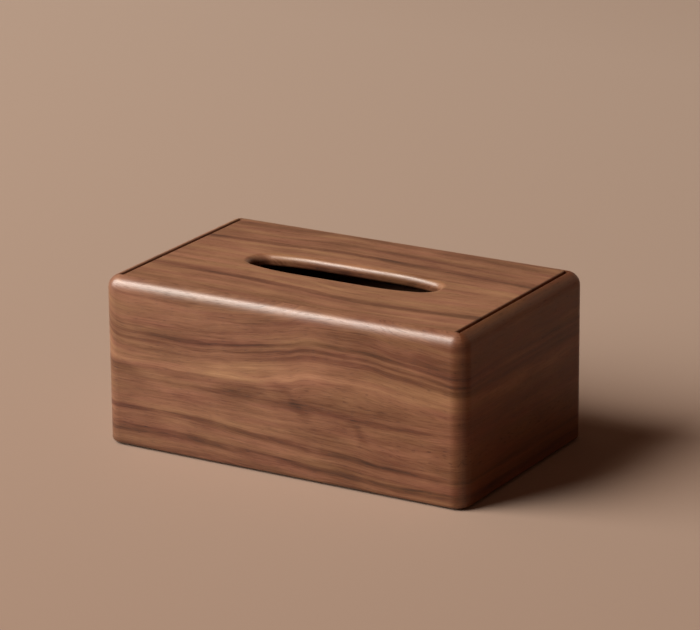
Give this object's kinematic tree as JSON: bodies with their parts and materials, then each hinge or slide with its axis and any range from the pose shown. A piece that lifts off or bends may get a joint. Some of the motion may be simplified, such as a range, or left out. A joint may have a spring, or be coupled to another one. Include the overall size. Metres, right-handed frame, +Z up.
{
  "type": "tissue holder",
  "caption": "Rounded rectangular walnut box for a pack of paper tissues, with a flush lift-off lid and a long rounded dispensing slot through it.",
  "frame": {"origin": "on the surface that the holder stands on, under the middle of the box", "axes": "+X along the front to the right, +Y from front to back, +Z up"},
  "size_m": [0.24, 0.146, 0.103],
  "materials": {
    "walnut": "satin oil",
    "beech": "planed, glued",
    "nickel_plate": "bright nickel plating",
    "felt": "pressed felt"
  },
  "bodies": {
    "box": {"front_panel": "walnut", "back_panel": "walnut", "left_end_panel": "walnut", "right_end_panel": "walnut", "base_panel": "walnut", "corner_post_front_left": "walnut", "corner_post_front_right": "walnut", "corner_post_back_left": "walnut", "corner_post_back_right": "walnut", "corner_spline_front_left": "beech", "corner_spline_front_right": "beech", "corner_spline_back_left": "beech", "corner_spline_back_right": "beech", "post_magnet_front_left": "nickel_plate", "post_magnet_front_right": "nickel_plate", "post_magnet_back_left": "nickel_plate", "post_magnet_back_right": "nickel_plate", "foot_pad_front_left": "felt", "foot_pad_front_right": "felt", "foot_pad_back_left": "felt", "foot_pad_back_right": "felt"},
    "lid": {"lid_panel": "walnut", "lid_batten_left": "walnut", "lid_batten_right": "walnut", "lid_magnet_front_left": "nickel_plate", "lid_magnet_front_right": "nickel_plate", "lid_magnet_back_left": "nickel_plate", "lid_magnet_back_right": "nickel_plate"}
  },
  "joints": [
    {"name": "lid_lift", "type": "slide", "parent": "box", "child": "lid", "axis": [0, 0, 1], "range_m": [0, 0.06]}
  ]
}
